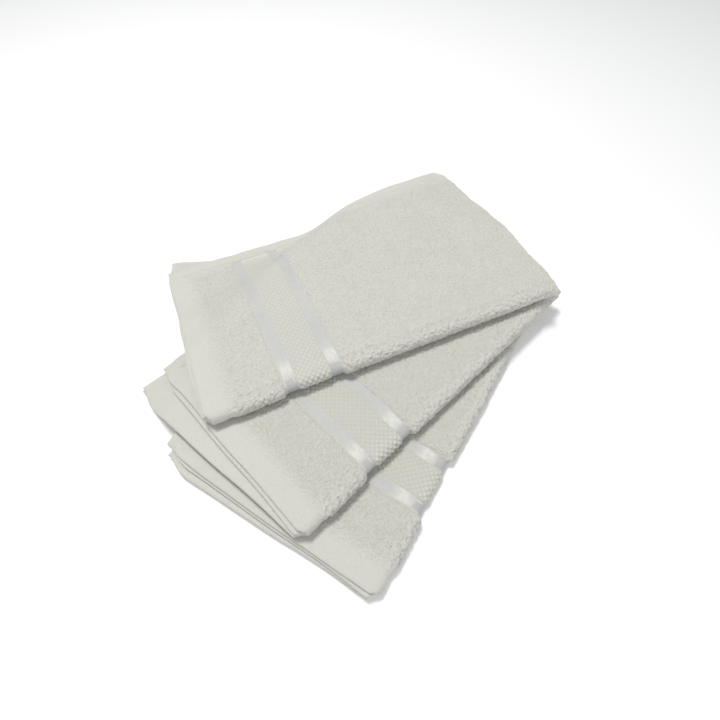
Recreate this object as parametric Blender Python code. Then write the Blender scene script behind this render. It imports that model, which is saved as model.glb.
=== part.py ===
"""Three terry hand towels, each folded into four plies and fanned into a stack.

A towel is one woven cloth with a hem at both ends and both sides, and a border near
each end: a satin stripe, a waffle band and a second satin stripe.  It is folded once
across its length, then once along it, so that a stack of four plies has its end hems
at the near end, a bend at the far end and one fat roll along the fold side.

Towel axes: s runs from the near end to the far end, t from the fold side to the open
side, and height is counted from what the towel lies on.  The three towels are turned
about a pivot near their far ends, and each one drapes over those below it.
"""

from math import ceil, cos, hypot, pi, radians, sin

import bmesh
import bpy
from mathutils import Vector

# The cloth, in metres.
FOLDED_LENGTH = 0.343
FOLDED_WIDTH = 0.203
PILE_THICKNESS = 0.0036
WAFFLE_THICKNESS = 0.0032
HEM_THICKNESS = 0.0030
SATIN_THICKNESS = 0.0020

# The bands of one end, counted inwards from the hemmed edge.
END_HEM = 0.019
END_STRIP = 0.0478
SATIN_STRIPE = 0.012
WAFFLE_BAND = 0.0306
SIDE_HEM = 0.012

# Clearances.
PLY_GAP = 0.0004
BUTT_GAP = 0.0003
TOWEL_GAP = 0.0006

# The leaf of the top towel that opens is cut from the fold roll this far beyond it.
HINGE_MARGIN = 0.0042

# The fan: heading of the top towel, and the turn from each towel to the one below.
TOP_HEADING = radians(24.3)
TURN_TO_MIDDLE = radians(19.6)
TURN_TO_BOTTOM = radians(13.7)

# How far each towel has slipped from the pivot, along and across itself.
TOP_SLIP = (-0.0108, -0.0094)
MIDDLE_SLIP = (0.0058, -0.0055)
BOTTOM_SLIP = (0.0104, 0.0078)

# How far the inner ply sticks out of the outer one at the near end, and how far the
# lower leaf sticks out of the upper one at the open side.
TOP_REACH, TOP_SKEW = 0.002, 0.0
MIDDLE_REACH, MIDDLE_SKEW = 0.005, 0.020
BOTTOM_REACH, BOTTOM_SKEW = 0.007, 0.005

# The drape over an edge below: level this far past it, and down after that run.
EDGE_MARGIN = 0.006
EDGE_MARGIN_STEP = 0.010
DROP_RUN = 0.050

# The folded far end is stiff: it keeps the height of a spot this much further in.
STIFF_SPAN = 0.120
STIFF_PULL = 0.050
STIFF_SHRINK = 0.15

# Facet sizes.
DRAPE_CELL = 0.018
FLAT_CELL = 0.250
BEND_SEGMENTS = 4
ROLL_SEGMENTS = 6

# Heights and radii that follow from the cloth.
PITCH = PILE_THICKNESS + PLY_GAP
STACK = 4 * PILE_THICKNESS + 3 * PLY_GAP
LIFT = STACK + TOWEL_GAP
ROLL_CENTRE = STACK / 2
BEND_RADIUS = PITCH / 2
BEND_CENTRE = FOLDED_LENGTH - BEND_RADIUS - PILE_THICKNESS / 2
HINGE_CUT = ROLL_CENTRE + HINGE_MARGIN

COLLECTION = "bath_towel_set"

FINISHES = {
    "pile": ((0.668, 0.672, 0.617, 1.0), 0.95),
    "hem": ((0.701, 0.708, 0.658, 1.0), 0.85),
    "waffle": ((0.660, 0.668, 0.617, 1.0), 0.80),
    "satin": ((0.610, 0.630, 0.624, 1.0), 0.35),
}


class Towel:
    """One folded towel: where it lies, how it is folded and what lies under it."""

    def __init__(self, name, heading, slip, reach, skew, below):
        self.name = name
        self.along = Vector((cos(heading), sin(heading), 0))
        self.across = Vector((-sin(heading), cos(heading), 0))
        self.reach = reach
        self.skew = skew
        self.below = below
        self.near_corner = (slip[0] - FOLDED_LENGTH) * self.along + slip[1] * self.across
        self.cell = DRAPE_CELL if below else FLAT_CELL

    def plan(self, s, t):
        return self.near_corner + s * self.along + t * self.across

    def distance_outside(self, point):
        """How far a plan point lies outside this towel's outline; 0 or less inside."""
        offset = point - self.near_corner
        s, t = offset.dot(self.along), offset.dot(self.across)
        past_s = max(-s, s - FOLDED_LENGTH)
        past_t = max(-t, t - FOLDED_WIDTH)
        if past_s <= 0 and past_t <= 0:
            return max(past_s, past_t)
        return hypot(max(past_s, 0), max(past_t, 0))

    def ground(self, s, t):
        """Height of what this towel lies on at its own (s, t)."""
        stiff = ease((s - FOLDED_LENGTH + STIFF_SPAN) / STIFF_SPAN)
        point = self.plan(s - STIFF_PULL * stiff, t * (1 - STIFF_SHRINK * stiff))
        height = 0.0
        for depth, towel in enumerate(reversed(self.below)):
            margin = EDGE_MARGIN + EDGE_MARGIN_STEP * depth
            past = (towel.distance_outside(point) - margin) / DROP_RUN
            height += LIFT * (1 - soft_ease(past))
        return height


def clamp(x):
    return min(max(x, 0.0), 1.0)


def ease(x):
    x = clamp(x)
    return x * x * (3 - 2 * x)


def soft_ease(x):
    x = clamp(x)
    return x ** 3 * (10 - 15 * x + 6 * x * x)


def spaced(start, end, cell):
    """Evenly spaced values from start to end, no further apart than cell."""
    count = max(1, ceil(abs(end - start) / cell - 1e-6))
    return [start + (end - start) * i / count for i in range(count + 1)]


def ply_stations(start, end, side, cell):
    """Stations along one ply: s, offset from the leaf's middle, and outward normal."""
    return [(s, side * BEND_RADIUS, 0.0, side) for s in spaced(start, end, cell)]


def bend_stations():
    """Stations around the far end, from the outer ply to the inner one."""
    angles = [pi / 2 - pi * i / BEND_SEGMENTS for i in range(1, BEND_SEGMENTS)]
    return [
        (BEND_CENTRE + BEND_RADIUS * cos(a), BEND_RADIUS * sin(a), cos(a), sin(a))
        for a in angles
    ]


def wrap_stations(outer_start, inner_start, cell):
    """Stations from a place on the outer ply, round the far end, back on the inner."""
    outer = ply_stations(outer_start, BEND_CENTRE, 1, cell)
    inner = ply_stations(BEND_CENTRE, inner_start, -1, cell)
    return outer + bend_stations() + inner


def leaf_girth(side, start, end, cell):
    """Girth stations across a leaf: centre t and the angle of the stacking direction."""
    return [(t, side * pi / 2) for t in spaced(start, end, cell)]


def roll_girth(segments):
    """Girth stations round the fold roll, from the lower leaf to the upper one."""
    return [(ROLL_CENTRE, -pi / 2 + pi * i / segments) for i in range(segments + 1)]


def full_girth(edge, cell):
    """Girth stations from the lower leaf's edge, round the roll, to the upper's."""
    lower = leaf_girth(-1, edge, ROLL_CENTRE, cell)
    upper = leaf_girth(1, ROLL_CENTRE, edge, cell)
    return lower[:-1] + roll_girth(ROLL_SEGMENTS) + upper[1:]


def hinge_girth(cell):
    """Girth stations of the roll of a towel that opens, out to where it is cut."""
    lower = leaf_girth(-1, HINGE_CUT - BUTT_GAP, ROLL_CENTRE, cell)
    upper = leaf_girth(1, ROLL_CENTRE, HINGE_CUT - BUTT_GAP, cell)
    return lower[:-1] + roll_girth(ROLL_SEGMENTS) + upper[1:]


def folded_point(towel, station, girth, rise):
    """Place of a cloth point at a station, rise metres along its outward normal."""
    s, offset, normal_s, normal_offset = station
    centre_t, angle = girth
    s += rise * normal_s
    radius = PITCH + offset + rise * normal_offset
    t = centre_t - radius * cos(angle)
    lower_share = clamp(-angle / (pi / 2))
    end_share = clamp((END_HEM + END_STRIP - s) / END_STRIP)
    s -= towel.skew * lower_share * end_share * t / FOLDED_WIDTH
    point = towel.plan(s, t)
    point.z = towel.ground(s, t) + ROLL_CENTRE + radius * sin(angle)
    return point


def folded_cloth(towel, name, stations, girths, thickness, finish):
    """A slab of cloth: a flat grid given thickness, then folded and draped."""
    cells_s, cells_t = len(stations) - 1, len(girths) - 1
    bm = bmesh.new()
    bmesh.ops.create_grid(bm, x_segments=cells_s, y_segments=cells_t, size=0.5)
    for vert in bm.verts:
        vert.co = ((vert.co.x + 0.5) * cells_s, (vert.co.y + 0.5) * cells_t, 0)
    extruded = bmesh.ops.extrude_face_region(bm, geom=bm.faces[:], use_keep_orig=True)
    for item in extruded["geom"]:
        if isinstance(item, bmesh.types.BMVert):
            item.co.z = 1
    for vert in bm.verts:
        i, j, side = (round(x) for x in vert.co)
        rise = (side - 0.5) * thickness
        vert.co = folded_point(towel, stations[i], girths[j], rise)
    bmesh.ops.triangulate(bm, faces=bm.faces[:], quad_method="SHORT_EDGE")
    bmesh.ops.recalc_face_normals(bm, faces=bm.faces[:])
    mesh = bpy.data.meshes.new(name)
    bm.to_mesh(mesh)
    bm.free()
    mesh.shade_smooth()
    mesh.set_sharp_from_angle(angle=radians(50))
    mesh.materials.append(finish_material(finish))
    part = bpy.data.objects.new(name, mesh)
    bpy.data.collections[COLLECTION].objects.link(part)
    return part


def finish_material(finish):
    """The finish's Principled material, made at its first use."""
    material = bpy.data.materials.get(finish)
    if material is None:
        colour, roughness = FINISHES[finish]
        material = bpy.data.materials.new(finish)
        material.use_nodes = True
        shader = material.node_tree.nodes["Principled BSDF"]
        shader.inputs["Base Color"].default_value = colour
        shader.inputs["Roughness"].default_value = roughness
        shader.inputs["Metallic"].default_value = 0.0
        material.diffuse_color = colour
    return material


def end_bands(reach):
    """Name, start, end, thickness and finish of each band at one end of the cloth."""
    widths = (
        ("end_hem", END_HEM + reach, HEM_THICKNESS, "hem"),
        ("end_strip", END_STRIP, PILE_THICKNESS, "pile"),
        ("near_satin_stripe", SATIN_STRIPE, SATIN_THICKNESS, "satin"),
        ("waffle_band", WAFFLE_BAND, WAFFLE_THICKNESS, "waffle"),
        ("far_satin_stripe", SATIN_STRIPE, SATIN_THICKNESS, "satin"),
    )
    start, bands = -reach, []
    for name, width, thickness, finish in widths:
        bands.append((name, start, start + width - BUTT_GAP, thickness, finish))
        start += width
    return bands, start


def build_bands(towel, label, girths):
    """The bands of both plies over one stretch of girth."""
    for ply, side, reach in (("outer", 1, 0.0), ("inner", -1, towel.reach)):
        for name, start, end, thickness, finish in end_bands(reach)[0]:
            cell = towel.cell / 2 if start < END_HEM + BUTT_GAP else towel.cell
            stations = ply_stations(start, end, side, cell)
            title = f"{towel.name}_{label}{ply}_{name}"
            folded_cloth(towel, title, stations, girths, thickness, finish)


def build_field(towel, label, girths):
    """The plain terry between the two borders, which wraps round the far end."""
    start = end_bands(0.0)[1]
    stations = wrap_stations(start, start, towel.cell)
    title = f"{towel.name}_{label}terry_field"
    folded_cloth(towel, title, stations, girths, PILE_THICKNESS, "pile")


def build_side_hems(towel):
    """The hems of the open side, one down each leaf and round the far end."""
    inside, edge = FOLDED_WIDTH - SIDE_HEM, FOLDED_WIDTH
    for leaf, side in (("lower", -1), ("upper", 1)):
        girths = leaf_girth(side, inside, edge, towel.cell)
        if side < 0:
            girths.reverse()
        stations = wrap_stations(0.0, -towel.reach, towel.cell)
        title = f"{towel.name}_{leaf}_side_hem"
        folded_cloth(towel, title, stations, girths, HEM_THICKNESS, "hem")


def build_closed_towel(towel):
    """A towel that stays folded: its bands and field run round the fold roll."""
    girths = full_girth(FOLDED_WIDTH - SIDE_HEM - BUTT_GAP, towel.cell)
    build_bands(towel, "", girths)
    build_field(towel, "", girths)
    build_side_hems(towel)


def build_opening_towel(towel):
    """A towel whose upper leaf opens: both leaves are cut from the fold roll."""
    edge = FOLDED_WIDTH - SIDE_HEM - BUTT_GAP
    lower = leaf_girth(-1, edge, HINGE_CUT, towel.cell)
    upper = leaf_girth(1, HINGE_CUT, edge, towel.cell)
    for label, girths in (("lower_", lower), ("upper_", upper)):
        build_bands(towel, label, girths)
        build_field(towel, label, girths)
    stations = wrap_stations(0.0, -towel.reach, towel.cell)
    title = f"{towel.name}_fold_roll"
    folded_cloth(towel, title, stations, hinge_girth(towel.cell), PILE_THICKNESS, "pile")
    build_side_hems(towel)


def centre_on_origin(parts):
    """Move the whole set so that the middle of its outline is over the origin."""
    points = [part.matrix_world @ v.co for part in parts for v in part.data.vertices]
    for axis in (0, 1):
        values = [point[axis] for point in points]
        middle = (min(values) + max(values)) / 2
        for part in parts:
            for vert in part.data.vertices:
                vert.co[axis] -= middle


def clear_scene():
    for item in list(bpy.data.objects):
        bpy.data.objects.remove(item, do_unlink=True)
    collection = bpy.data.collections.new(COLLECTION)
    bpy.context.scene.collection.children.link(collection)
    return collection


def main():
    collection = clear_scene()
    middle_heading = TOP_HEADING + TURN_TO_MIDDLE
    bottom_heading = middle_heading + TURN_TO_BOTTOM
    bottom = Towel(
        "bottom_towel", bottom_heading, BOTTOM_SLIP, BOTTOM_REACH, BOTTOM_SKEW, ()
    )
    middle = Towel(
        "middle_towel", middle_heading, MIDDLE_SLIP, MIDDLE_REACH, MIDDLE_SKEW, (bottom,)
    )
    top = Towel(
        "top_towel", TOP_HEADING, TOP_SLIP, TOP_REACH, TOP_SKEW, (bottom, middle)
    )
    build_closed_towel(bottom)
    build_closed_towel(middle)
    build_opening_towel(top)
    centre_on_origin(list(collection.objects))


main()
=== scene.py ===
"""Looks of three folded terry hand towels, fanned out in a draped stack.

Every towel is one cloth folded in four.  A point of the cloth is given by its path
coordinate p, which starts at the outer ply's hemmed end, runs to the far bend, goes
round it and comes back along the inner ply, and by its girth coordinate g, which is 0
on the outermost line of the fold roll, positive on the upper leaf and negative on the
lower one.  Pieces are grids of (p, g) that FoldedTowel.place folds, drapes and lifts.
All sizes are in metres.
"""

import logging
import math
from collections.abc import Callable, Sequence
from dataclasses import dataclass, field
from enum import Enum

import bmesh
import bpy
import numpy as np
from mathutils import Matrix, Vector


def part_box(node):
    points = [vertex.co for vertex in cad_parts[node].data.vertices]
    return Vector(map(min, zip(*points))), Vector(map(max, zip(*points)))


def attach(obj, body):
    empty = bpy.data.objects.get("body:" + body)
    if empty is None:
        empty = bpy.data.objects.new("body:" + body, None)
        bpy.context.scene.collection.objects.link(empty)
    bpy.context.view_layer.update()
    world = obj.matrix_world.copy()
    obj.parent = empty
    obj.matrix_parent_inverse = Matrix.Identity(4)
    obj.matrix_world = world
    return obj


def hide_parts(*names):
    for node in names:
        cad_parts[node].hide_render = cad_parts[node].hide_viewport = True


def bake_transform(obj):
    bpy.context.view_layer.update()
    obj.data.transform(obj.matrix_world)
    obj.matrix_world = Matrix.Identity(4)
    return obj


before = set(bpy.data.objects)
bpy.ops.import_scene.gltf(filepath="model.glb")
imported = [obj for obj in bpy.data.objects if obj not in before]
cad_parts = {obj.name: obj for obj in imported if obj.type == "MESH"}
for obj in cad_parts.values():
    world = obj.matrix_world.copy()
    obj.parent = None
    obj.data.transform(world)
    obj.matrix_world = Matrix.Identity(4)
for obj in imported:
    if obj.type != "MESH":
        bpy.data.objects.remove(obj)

log = logging.getLogger("towels")

Array = np.ndarray
Colour = tuple[float, float, float, float]
Rise = Callable[[Array, Array], Array]

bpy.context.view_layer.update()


class Ply(Enum):
    """Which of the two plies of a towel a band belongs to."""

    OUTER = 1
    INNER = -1


class Edge(Enum):
    """What lies beside an edge of a skin."""

    JOINED = 0
    BAND = 1
    HEM = 2


class Weave(Enum):
    """The ways the cloth is woven or sewn."""

    PILE = "pile"
    HEM = "hem"
    WAFFLE = "waffle"
    SATIN = "satin"


# --------------------------------------------------------------------------- numbers


def smooth(x: Array) -> Array:
    """Cubic ease from 0 to 1 of x, held outside that span."""
    x = np.clip(x, 0.0, 1.0)
    return x * x * (3 - 2 * x)


def soft_smooth(x: Array) -> Array:
    """Fifth-order ease from 0 to 1 of x, held outside that span."""
    x = np.clip(x, 0.0, 1.0)
    return x**3 * (10 - 15 * x + 6 * x * x)


def window(x: Array, start: float, end: float, blur: float) -> Array:
    """1 between start and end and 0 outside, with edges blurred over blur."""
    return smooth((x - start) / blur + 0.5) * (1 - smooth((x - end) / blur + 0.5))


def profile(x: Array, knots: Sequence[tuple[float, float]]) -> Array:
    """Eased interpolation.

    Args:
        x: Places.
        knots: Pairs of a place and the value there, in order.

    Returns:
        The values at x.
    """
    places, values = np.array(knots).T
    k = np.clip(np.searchsorted(places, x) - 1, 0, len(places) - 2)
    share = smooth((x - places[k]) / (places[k + 1] - places[k]))
    return values[k] + (values[k + 1] - values[k]) * share


def hashed(i: Array, j: Array, salt: int) -> Array:
    """A repeatable value from 0 to 1 for every pair of whole numbers.

    Args:
        i: First whole numbers.
        j: Second whole numbers.
        salt: Changes the whole pattern.

    Returns:
        Values from 0 to 1.
    """
    n = i.astype(np.int64) * 374761393 + j.astype(np.int64) * 668265263 + salt * 974634777
    n = (n ^ (n >> 13)) * 1274126177
    n = n ^ (n >> 16)
    return (n & 0xFFFFFF).astype(np.float64) / float(0xFFFFFF)


def value_noise(x: Array, y: Array, size: float, salt: int) -> Array:
    """Smooth noise from 0 to 1.

    Args:
        x: Places along one axis.
        y: Places along the other axis.
        size: About how wide a lump is.
        salt: Changes the whole pattern.

    Returns:
        The noise at every place.
    """
    x, y = x / size, y / size
    i, j = np.floor(x), np.floor(y)
    fx, fy = soft_smooth(x - i), soft_smooth(y - j)
    low = hashed(i, j, salt) * (1 - fx) + hashed(i + 1, j, salt) * fx
    high = hashed(i, j + 1, salt) * (1 - fx) + hashed(i + 1, j + 1, salt) * fx
    return low * (1 - fy) + high * fy


def loops(x: Array, y: Array, pitch: float, salt: int, jitter: float = 0.9) -> Array:
    """Height from 0 to 1 of a pile of small leaning loops.

    Args:
        x: Place across the cloth.
        y: Place along the cloth.
        pitch: Mean distance between loops.
        salt: Changes the whole pattern.
        jitter: How far a loop strays from its place in the row, in pitches.

    Returns:
        Height of the pile at every place.
    """
    x, y = x / pitch, y / pitch
    i, j = np.floor(x), np.floor(y)
    best = np.zeros_like(x)
    for di in (-1, 0, 1):
        for dj in (-1, 0, 1):
            ci, cj = i + di, j + dj
            px = ci + 0.5 + (hashed(ci, cj, salt) - 0.5) * jitter
            py = cj + 0.5 + (hashed(ci, cj, salt + 1) - 0.5) * jitter
            turn = hashed(ci, cj, salt + 2) * math.pi
            tall = 0.70 + 0.30 * hashed(ci, cj, salt + 3)
            dx, dy = x - px, y - py
            along = dx * np.cos(turn) + dy * np.sin(turn)
            across = dy * np.cos(turn) - dx * np.sin(turn)
            reach = (along / 0.80) ** 2 + (across / 0.56) ** 2
            best = np.maximum(best, tall * np.sqrt(np.clip(1 - reach, 0, 1)))
    return best


def satin_painted_light(p: Array, g: Array, salt: int) -> Array:
    """Painted highlight and shade of a satin stripe: a painted highlight on the roll's shoulder,
    painted shade on its side.

    Args:
        p: Path coordinates.
        g: Girth coordinates.
        salt: Changes the flecks.

    Returns:
        0 for the painted highlight on the shoulder, 1 for the painted shade on the roll's side.
    """
    # Painted light: the colour is lighter on the shoulder and darker on the roll's side, standing
    # in for how light falls on the bend; the flecks are strongest in the highlight.
    shoulder = np.exp(-(((g - 0.0205) / 0.0075) ** 2))
    side = 1 - smooth((g - 0.0085) / 0.0060)
    fleck = (0.12 + 0.35 * shoulder) * (value_noise(g, p, 0.0021, salt + 51) - 0.5)
    return np.clip(0.58 - 0.50 * shoulder + 0.50 * side + fleck, 0, 1)


# --------------------------------------------------------------------------- cloth


@dataclass(frozen=True)
class Cloth:
    """The towelling that all three towels are cut from."""

    length: float = 0.343
    width: float = 0.203
    pile: float = 0.0036
    waffle: float = 0.0032
    hem: float = 0.0030
    satin: float = 0.0020
    end_hem: float = 0.019
    end_strip: float = 0.0478
    satin_stripe: float = 0.012
    waffle_band: float = 0.0306
    side_hem: float = 0.012
    ply_gap: float = 0.0004
    towel_gap: float = 0.0006
    hinge_margin: float = 0.0042
    plump_hem: float = 0.0037
    waffle_thinness: float = 0.16
    hem_thinness: float = 0.14
    band_blur: float = 0.006

    @property
    def pitch(self) -> float:
        """Distance from the middle of one layer to the middle of the next."""
        return self.pile + self.ply_gap

    @property
    def stack(self) -> float:
        """Height of a folded towel."""
        return 4 * self.pile + 3 * self.ply_gap

    @property
    def lift(self) -> float:
        """Height from the bottom of one towel to the bottom of the next."""
        return self.stack + self.towel_gap

    @property
    def roll_centre(self) -> float:
        """Height and inset of the fold roll's centre line."""
        return self.stack / 2

    @property
    def bend_radius(self) -> float:
        """Radius of the far bend, at the middle of the cloth."""
        return self.pitch / 2

    @property
    def bend_centre(self) -> float:
        """How far along the towel the far bend's centre is."""
        return self.length - self.bend_radius - self.pile / 2

    @property
    def bend_arc(self) -> float:
        """Length of cloth in the far bend."""
        return math.pi * self.bend_radius

    @property
    def roll_arc(self) -> float:
        """Length of cloth in half of the fold roll, on the outer ply."""
        return (self.pitch + self.bend_radius) * math.pi / 2

    @property
    def girth(self) -> float:
        """Girth coordinate of the open edge of the upper leaf."""
        return self.roll_arc + self.width - self.roll_centre

    @property
    def path(self) -> float:
        """Path coordinate at which the inner ply is back over the near end."""
        return 2 * self.bend_centre + self.bend_arc

    @property
    def middle(self) -> float:
        """Path coordinate of the far bend's middle, where the two plies meet."""
        return self.bend_centre + self.bend_arc / 2

    @property
    def border(self) -> tuple[tuple[str, float, float, Weave], ...]:
        """The bands across the towel's end.

        Returns:
            Name, start, end and weave of each, from the hemmed end inwards.
        """
        widths = (
            ("end_hem", self.end_hem, Weave.HEM),
            ("end_strip", self.end_strip, Weave.PILE),
            ("near_satin", self.satin_stripe, Weave.SATIN),
            ("waffle", self.waffle_band, Weave.WAFFLE),
            ("far_satin", self.satin_stripe, Weave.SATIN),
        )
        start, bands = 0.0, []
        for name, width, weave in widths:
            bands.append((name, start, start + width, weave))
            start += width
        return tuple(bands)

    @property
    def field_start(self) -> float:
        """Where the plain terry field begins."""
        return self.border[-1][2]

    def thinness(self, s: Array) -> Array:
        """How much thinner than pile the cloth is.

        Args:
            s: Places along the folded towel.

        Returns:
            The missing thickness as a share of the pile's.
        """
        bands = self.border
        first, waffle, last = bands[2], bands[3], bands[4]
        satin = 1 - self.satin / self.pile
        shares = ((first, satin), (last, satin), (waffle, self.waffle_thinness))
        thin = self.hem_thinness * (1 - smooth((s - 0.016) / 0.008))
        for (_, start, end, _), share in shares:
            thin = np.maximum(thin, share * window(s, start, end, self.band_blur))
        return thin


CLOTH = Cloth()


@dataclass(frozen=True)
class Terry:
    """How the terry pile stands on the cloth: loops, tufts of loops and soft lumps.

    Each height has its value on a flat leaf, and what is added where the cloth is bent
    round the fold roll, which opens the pile.
    """

    base: float = 0.00095
    loft: float = 0.0010
    loft_reach: float = 0.0068
    bend_middle: float = 0.0015
    bend_reach: float = 0.0145
    loop_pitch: float = 0.0022
    loop_height: tuple[float, float] = (0.00075, 0.00030)
    tuft_pitch: float = 0.0032
    tuft_height: tuple[float, float] = (0.00016, 0.00082)
    tuft_mean: float = 0.30
    lump_size: float = 0.008
    lump_height: tuple[float, float] = (0.00025, 0.0003)
    pressed: float = 0.6

    def height(self, p: Array, g: Array, strength: float, salt: int) -> Array:
        """Height of the pile over the middle of the cloth.

        Args:
            p: Path coordinates.
            g: Girth coordinates.
            strength: How far the loops stand up.
            salt: Changes the whole pattern.

        Returns:
            The heights.
        """
        bent = np.exp(-(((g - self.bend_middle) / self.bend_reach) ** 4))
        side = np.exp(-((g / self.loft_reach) ** 4))
        fine = loops(g, p, self.loop_pitch, salt)
        tuft = loops(g, p, self.tuft_pitch, salt + 11, 1.0)
        lump = value_noise(g, p, self.lump_size, salt + 3)
        height = (self.loop_height[0] + self.loop_height[1] * bent) * fine * strength
        tall = self.tuft_height[0] + self.tuft_height[1] * bent
        height = height + tall * (tuft - self.tuft_mean)
        height = height + (self.lump_height[0] + self.lump_height[1] * bent) * (lump - 0.5)
        under = 1 - self.pressed * smooth((-g - 0.0040) / 0.0050)
        return self.base + height * under + self.loft * side


TERRY = Terry()


@dataclass
class FoldedTowel:
    """One folded towel: where it lies and what lies under it."""

    name: str
    heading: float
    slip: tuple[float, float]
    reach: float
    skew: float
    salt: int
    below: tuple["FoldedTowel", ...] = ()
    shift: tuple[float, float] = (0.0, 0.0)
    flare: tuple[float, float] = (0.0, 0.0)
    rounding: tuple[float, float] = (0.0035, 0.0045)
    blunt: float = 0.0028
    widen: float = 0.0
    far_edge: tuple[tuple[float, float], ...] = ((0.0, 0.0), (1.0, 0.0))
    waist: float = 0.0
    fluff: float = 1.0
    cloth: Cloth = CLOTH
    sink: tuple[float, float] = (0.14, 0.24)
    waviness: float = 0.07
    corner_span: float = 0.030
    waist_place: float = 0.215
    waist_span: float = 0.055
    edge_margin: float = 0.006
    edge_margin_step: float = 0.010
    drop_run: float = 0.050
    stiff_span: float = 0.120
    stiff_pull: float = 0.050
    stiff_shrink: float = 0.15

    @property
    def along(self) -> Array:
        """Unit vector from the hemmed end to the far end."""
        return np.array([math.cos(self.heading), math.sin(self.heading)])

    @property
    def across(self) -> Array:
        """Unit vector from the fold side to the open side."""
        return np.array([-math.sin(self.heading), math.cos(self.heading)])

    @property
    def corner(self) -> Array:
        """The corner of the hemmed end on the fold side."""
        start = (self.slip[0] - self.cloth.length) * self.along
        return start + self.slip[1] * self.across + np.array(self.shift)

    @property
    def inner_end(self) -> float:
        """Path coordinate of the inner ply's hemmed end."""
        return self.cloth.path + self.reach

    def plan(self, s: Array, t: Array) -> Array:
        """Plan points at (s, t), one row each."""
        return self.corner + np.multiply.outer(s, self.along) + np.multiply.outer(t, self.across)

    def distance_outside(self, points: Array) -> Array:
        """How far plan points lie outside this towel's outline.

        Args:
            points: Plan points, one row each.

        Returns:
            The distances, 0 or less inside.
        """
        offset = points - self.corner
        s, t = offset @ self.along, offset @ self.across
        past_s = np.maximum(-s, s - self.cloth.length)
        past_t = np.maximum(-t, t - self.cloth.width)
        outside = np.hypot(np.maximum(past_s, 0), np.maximum(past_t, 0))
        return np.where(outside > 0, outside, np.maximum(past_s, past_t))

    def ground(self, s: Array, t: Array) -> Array:
        """Height of what this towel lies on, eased where it drapes over an edge.

        Args:
            s: Places along the towel.
            t: Places across the towel.

        Returns:
            The heights above the floor.
        """
        stiff = smooth((s - self.cloth.length + self.stiff_span) / self.stiff_span)
        points = self.plan(s - self.stiff_pull * stiff, t * (1 - self.stiff_shrink * stiff))
        height = np.zeros_like(s)
        for depth, towel in enumerate(reversed(self.below)):
            margin = self.edge_margin + self.edge_margin_step * depth
            past = (towel.distance_outside(points) - margin) / self.drop_run
            height += self.cloth.lift * (1 - soft_smooth(past))
        return height

    def squeeze(self, s: Array, t: Array) -> Array:
        """How far the stack has sunk where its cloth is thin, and in soft waves.

        Args:
            s: Places along the towel.
            t: Places across the towel.

        Returns:
            The share of its full height that the stack has.
        """
        near_roll = 1 - smooth((t - 0.006) / 0.030)
        sink = (self.sink[0] + self.sink[1] * near_roll) * self.cloth.thinness(s)
        wave = value_noise(s, t, 0.055, self.salt) * 0.6
        wave = wave + value_noise(s, t, 0.024, self.salt + 5) * 0.4
        return (1 - sink) * (1 - self.waviness * wave)

    def relax(self, s: Array, t: Array, angle: Array) -> tuple[Array, Array]:
        """Small shifts in plan that a washed towel has when it is folded by hand.

        Args:
            s: Places along the towel.
            t: Places across the towel.
            angle: Turn round the fold roll; positive on the upper leaf.

        Returns:
            The shifted s and t.
        """
        c = self.cloth
        out = np.clip(t / c.width, 0, 1)
        share = np.clip(angle / (math.pi / 2), -1, 1)
        upper, lower = np.maximum(share, 0), np.maximum(-share, 0)
        flare = self.flare[0] * upper + self.flare[1] * lower
        rounding = self.rounding[0] * upper + self.rounding[1] * lower
        near_corner = smooth((t - c.width + self.corner_span) / self.corner_span) ** 2
        moved_s = s + rounding * near_corner * (1 - smooth(s / self.corner_span))
        far = smooth((s - c.length + 0.060) / 0.060)
        moved_s = moved_s + far * profile(out, self.far_edge)
        near = 1 - smooth(s / 0.085)
        moved_t = t + flare * out**2 * near - self.widen * (1 - out) ** 2 * (1 + near)
        moved_t = moved_t - self.blunt * near_corner * (1 - smooth(s / 0.024))
        slack = np.exp(-(((s - self.waist_place) / self.waist_span) ** 2))
        return moved_s, moved_t - self.waist * out**2 * slack

    def place(self, p: Array, g: Array, rise: Array) -> Array:
        """World places of cloth points.

        Args:
            p: Path coordinates.
            g: Girth coordinates.
            rise: Heights above the middle of the cloth, outwards.

        Returns:
            One row of x, y and z for each point.
        """
        c = self.cloth
        turn = np.clip((p - c.bend_centre) / c.bend_arc, 0, 1) * math.pi
        past = np.maximum(p - c.bend_centre - c.bend_arc, 0)
        s = np.minimum(p, c.bend_centre) - past + c.bend_radius * np.sin(turn)
        offset = c.bend_radius * np.cos(turn)
        s = s + rise * np.sin(turn)
        radius = c.pitch + offset + rise * np.cos(turn)
        angle = np.clip(g / c.roll_arc, -1, 1) * math.pi / 2
        flat = np.maximum(np.abs(g) - c.roll_arc, 0)
        centre = c.roll_centre + flat
        lower_share = np.clip(-angle / (math.pi / 2), 0, 1)
        t = centre - radius * np.cos(angle)
        end_share = np.clip((c.end_hem + c.end_strip - s) / c.end_strip, 0, 1)
        wander = (value_noise(t, offset * 40, 0.05, self.salt + 9) - 0.5) * 0.003
        wander = wander + 0.004 * np.cos(angle) * (1 - smooth(s / 0.012))
        s = s - self.skew * lower_share * end_share * t / c.width
        s = s + wander * (1 - smooth((s - 0.002) / 0.03)) * np.sign(self.reach)
        at_corner = smooth((t - c.width + 0.032) / 0.030) * (1 - smooth(s / 0.03))
        s = s + (self.reach + 0.0005) * at_corner * (0.5 - 0.5 * offset / c.bend_radius)
        full = self.squeeze(s, t)
        t = centre - radius * np.cos(angle) * full
        s, t = self.relax(s, t, angle)
        xy = self.plan(s, t)
        z = self.ground(s, t) + (c.roll_centre + radius * np.sin(angle)) * full
        return np.column_stack([xy, np.maximum(z, 0.0003)])


# --------------------------------------------------------------------------- pieces


def stations(start: float, end: float, step: float) -> Array:
    """Evenly spaced values from start to end, about step apart."""
    return np.linspace(start, end, max(1, math.ceil((end - start) / step)) + 1)


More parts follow.
